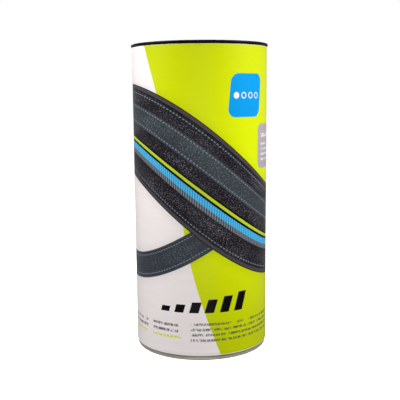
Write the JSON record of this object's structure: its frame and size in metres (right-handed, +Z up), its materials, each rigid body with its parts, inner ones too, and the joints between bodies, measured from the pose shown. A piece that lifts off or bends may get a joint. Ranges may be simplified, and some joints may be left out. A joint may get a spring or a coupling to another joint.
{
  "type": "cardboard packaging tube with plug lid",
  "caption": "Cylindrical cardboard packaging tube with a printed paper wrap, a rolled tin bottom and a black plug lid that lifts off.",
  "frame": {"origin": "on the tube's axis, at the floor under the rolled rim of the tin bottom", "axes": "+Z up along the tube's axis towards the lid, the printed front facing -Y"},
  "size_m": [0.1004, 0.1004, 0.224],
  "materials": {
    "greyboard": "matte wound board",
    "printed_paper": "satin varnished print",
    "tinplate": "satin rolled tin",
    "black_plastic": "moulded semi-gloss"
  },
  "bodies": {
    "tube": {"board_tube": "greyboard", "printed_wrap": "printed_paper", "tin_bottom": "tinplate"},
    "lid": {"plug_lid": "black_plastic"}
  },
  "joints": [
    {"name": "lid_lift", "type": "slide", "parent": "tube", "child": "lid", "axis": [0, 0, 1], "range_m": [0, 0.11]}
  ]
}
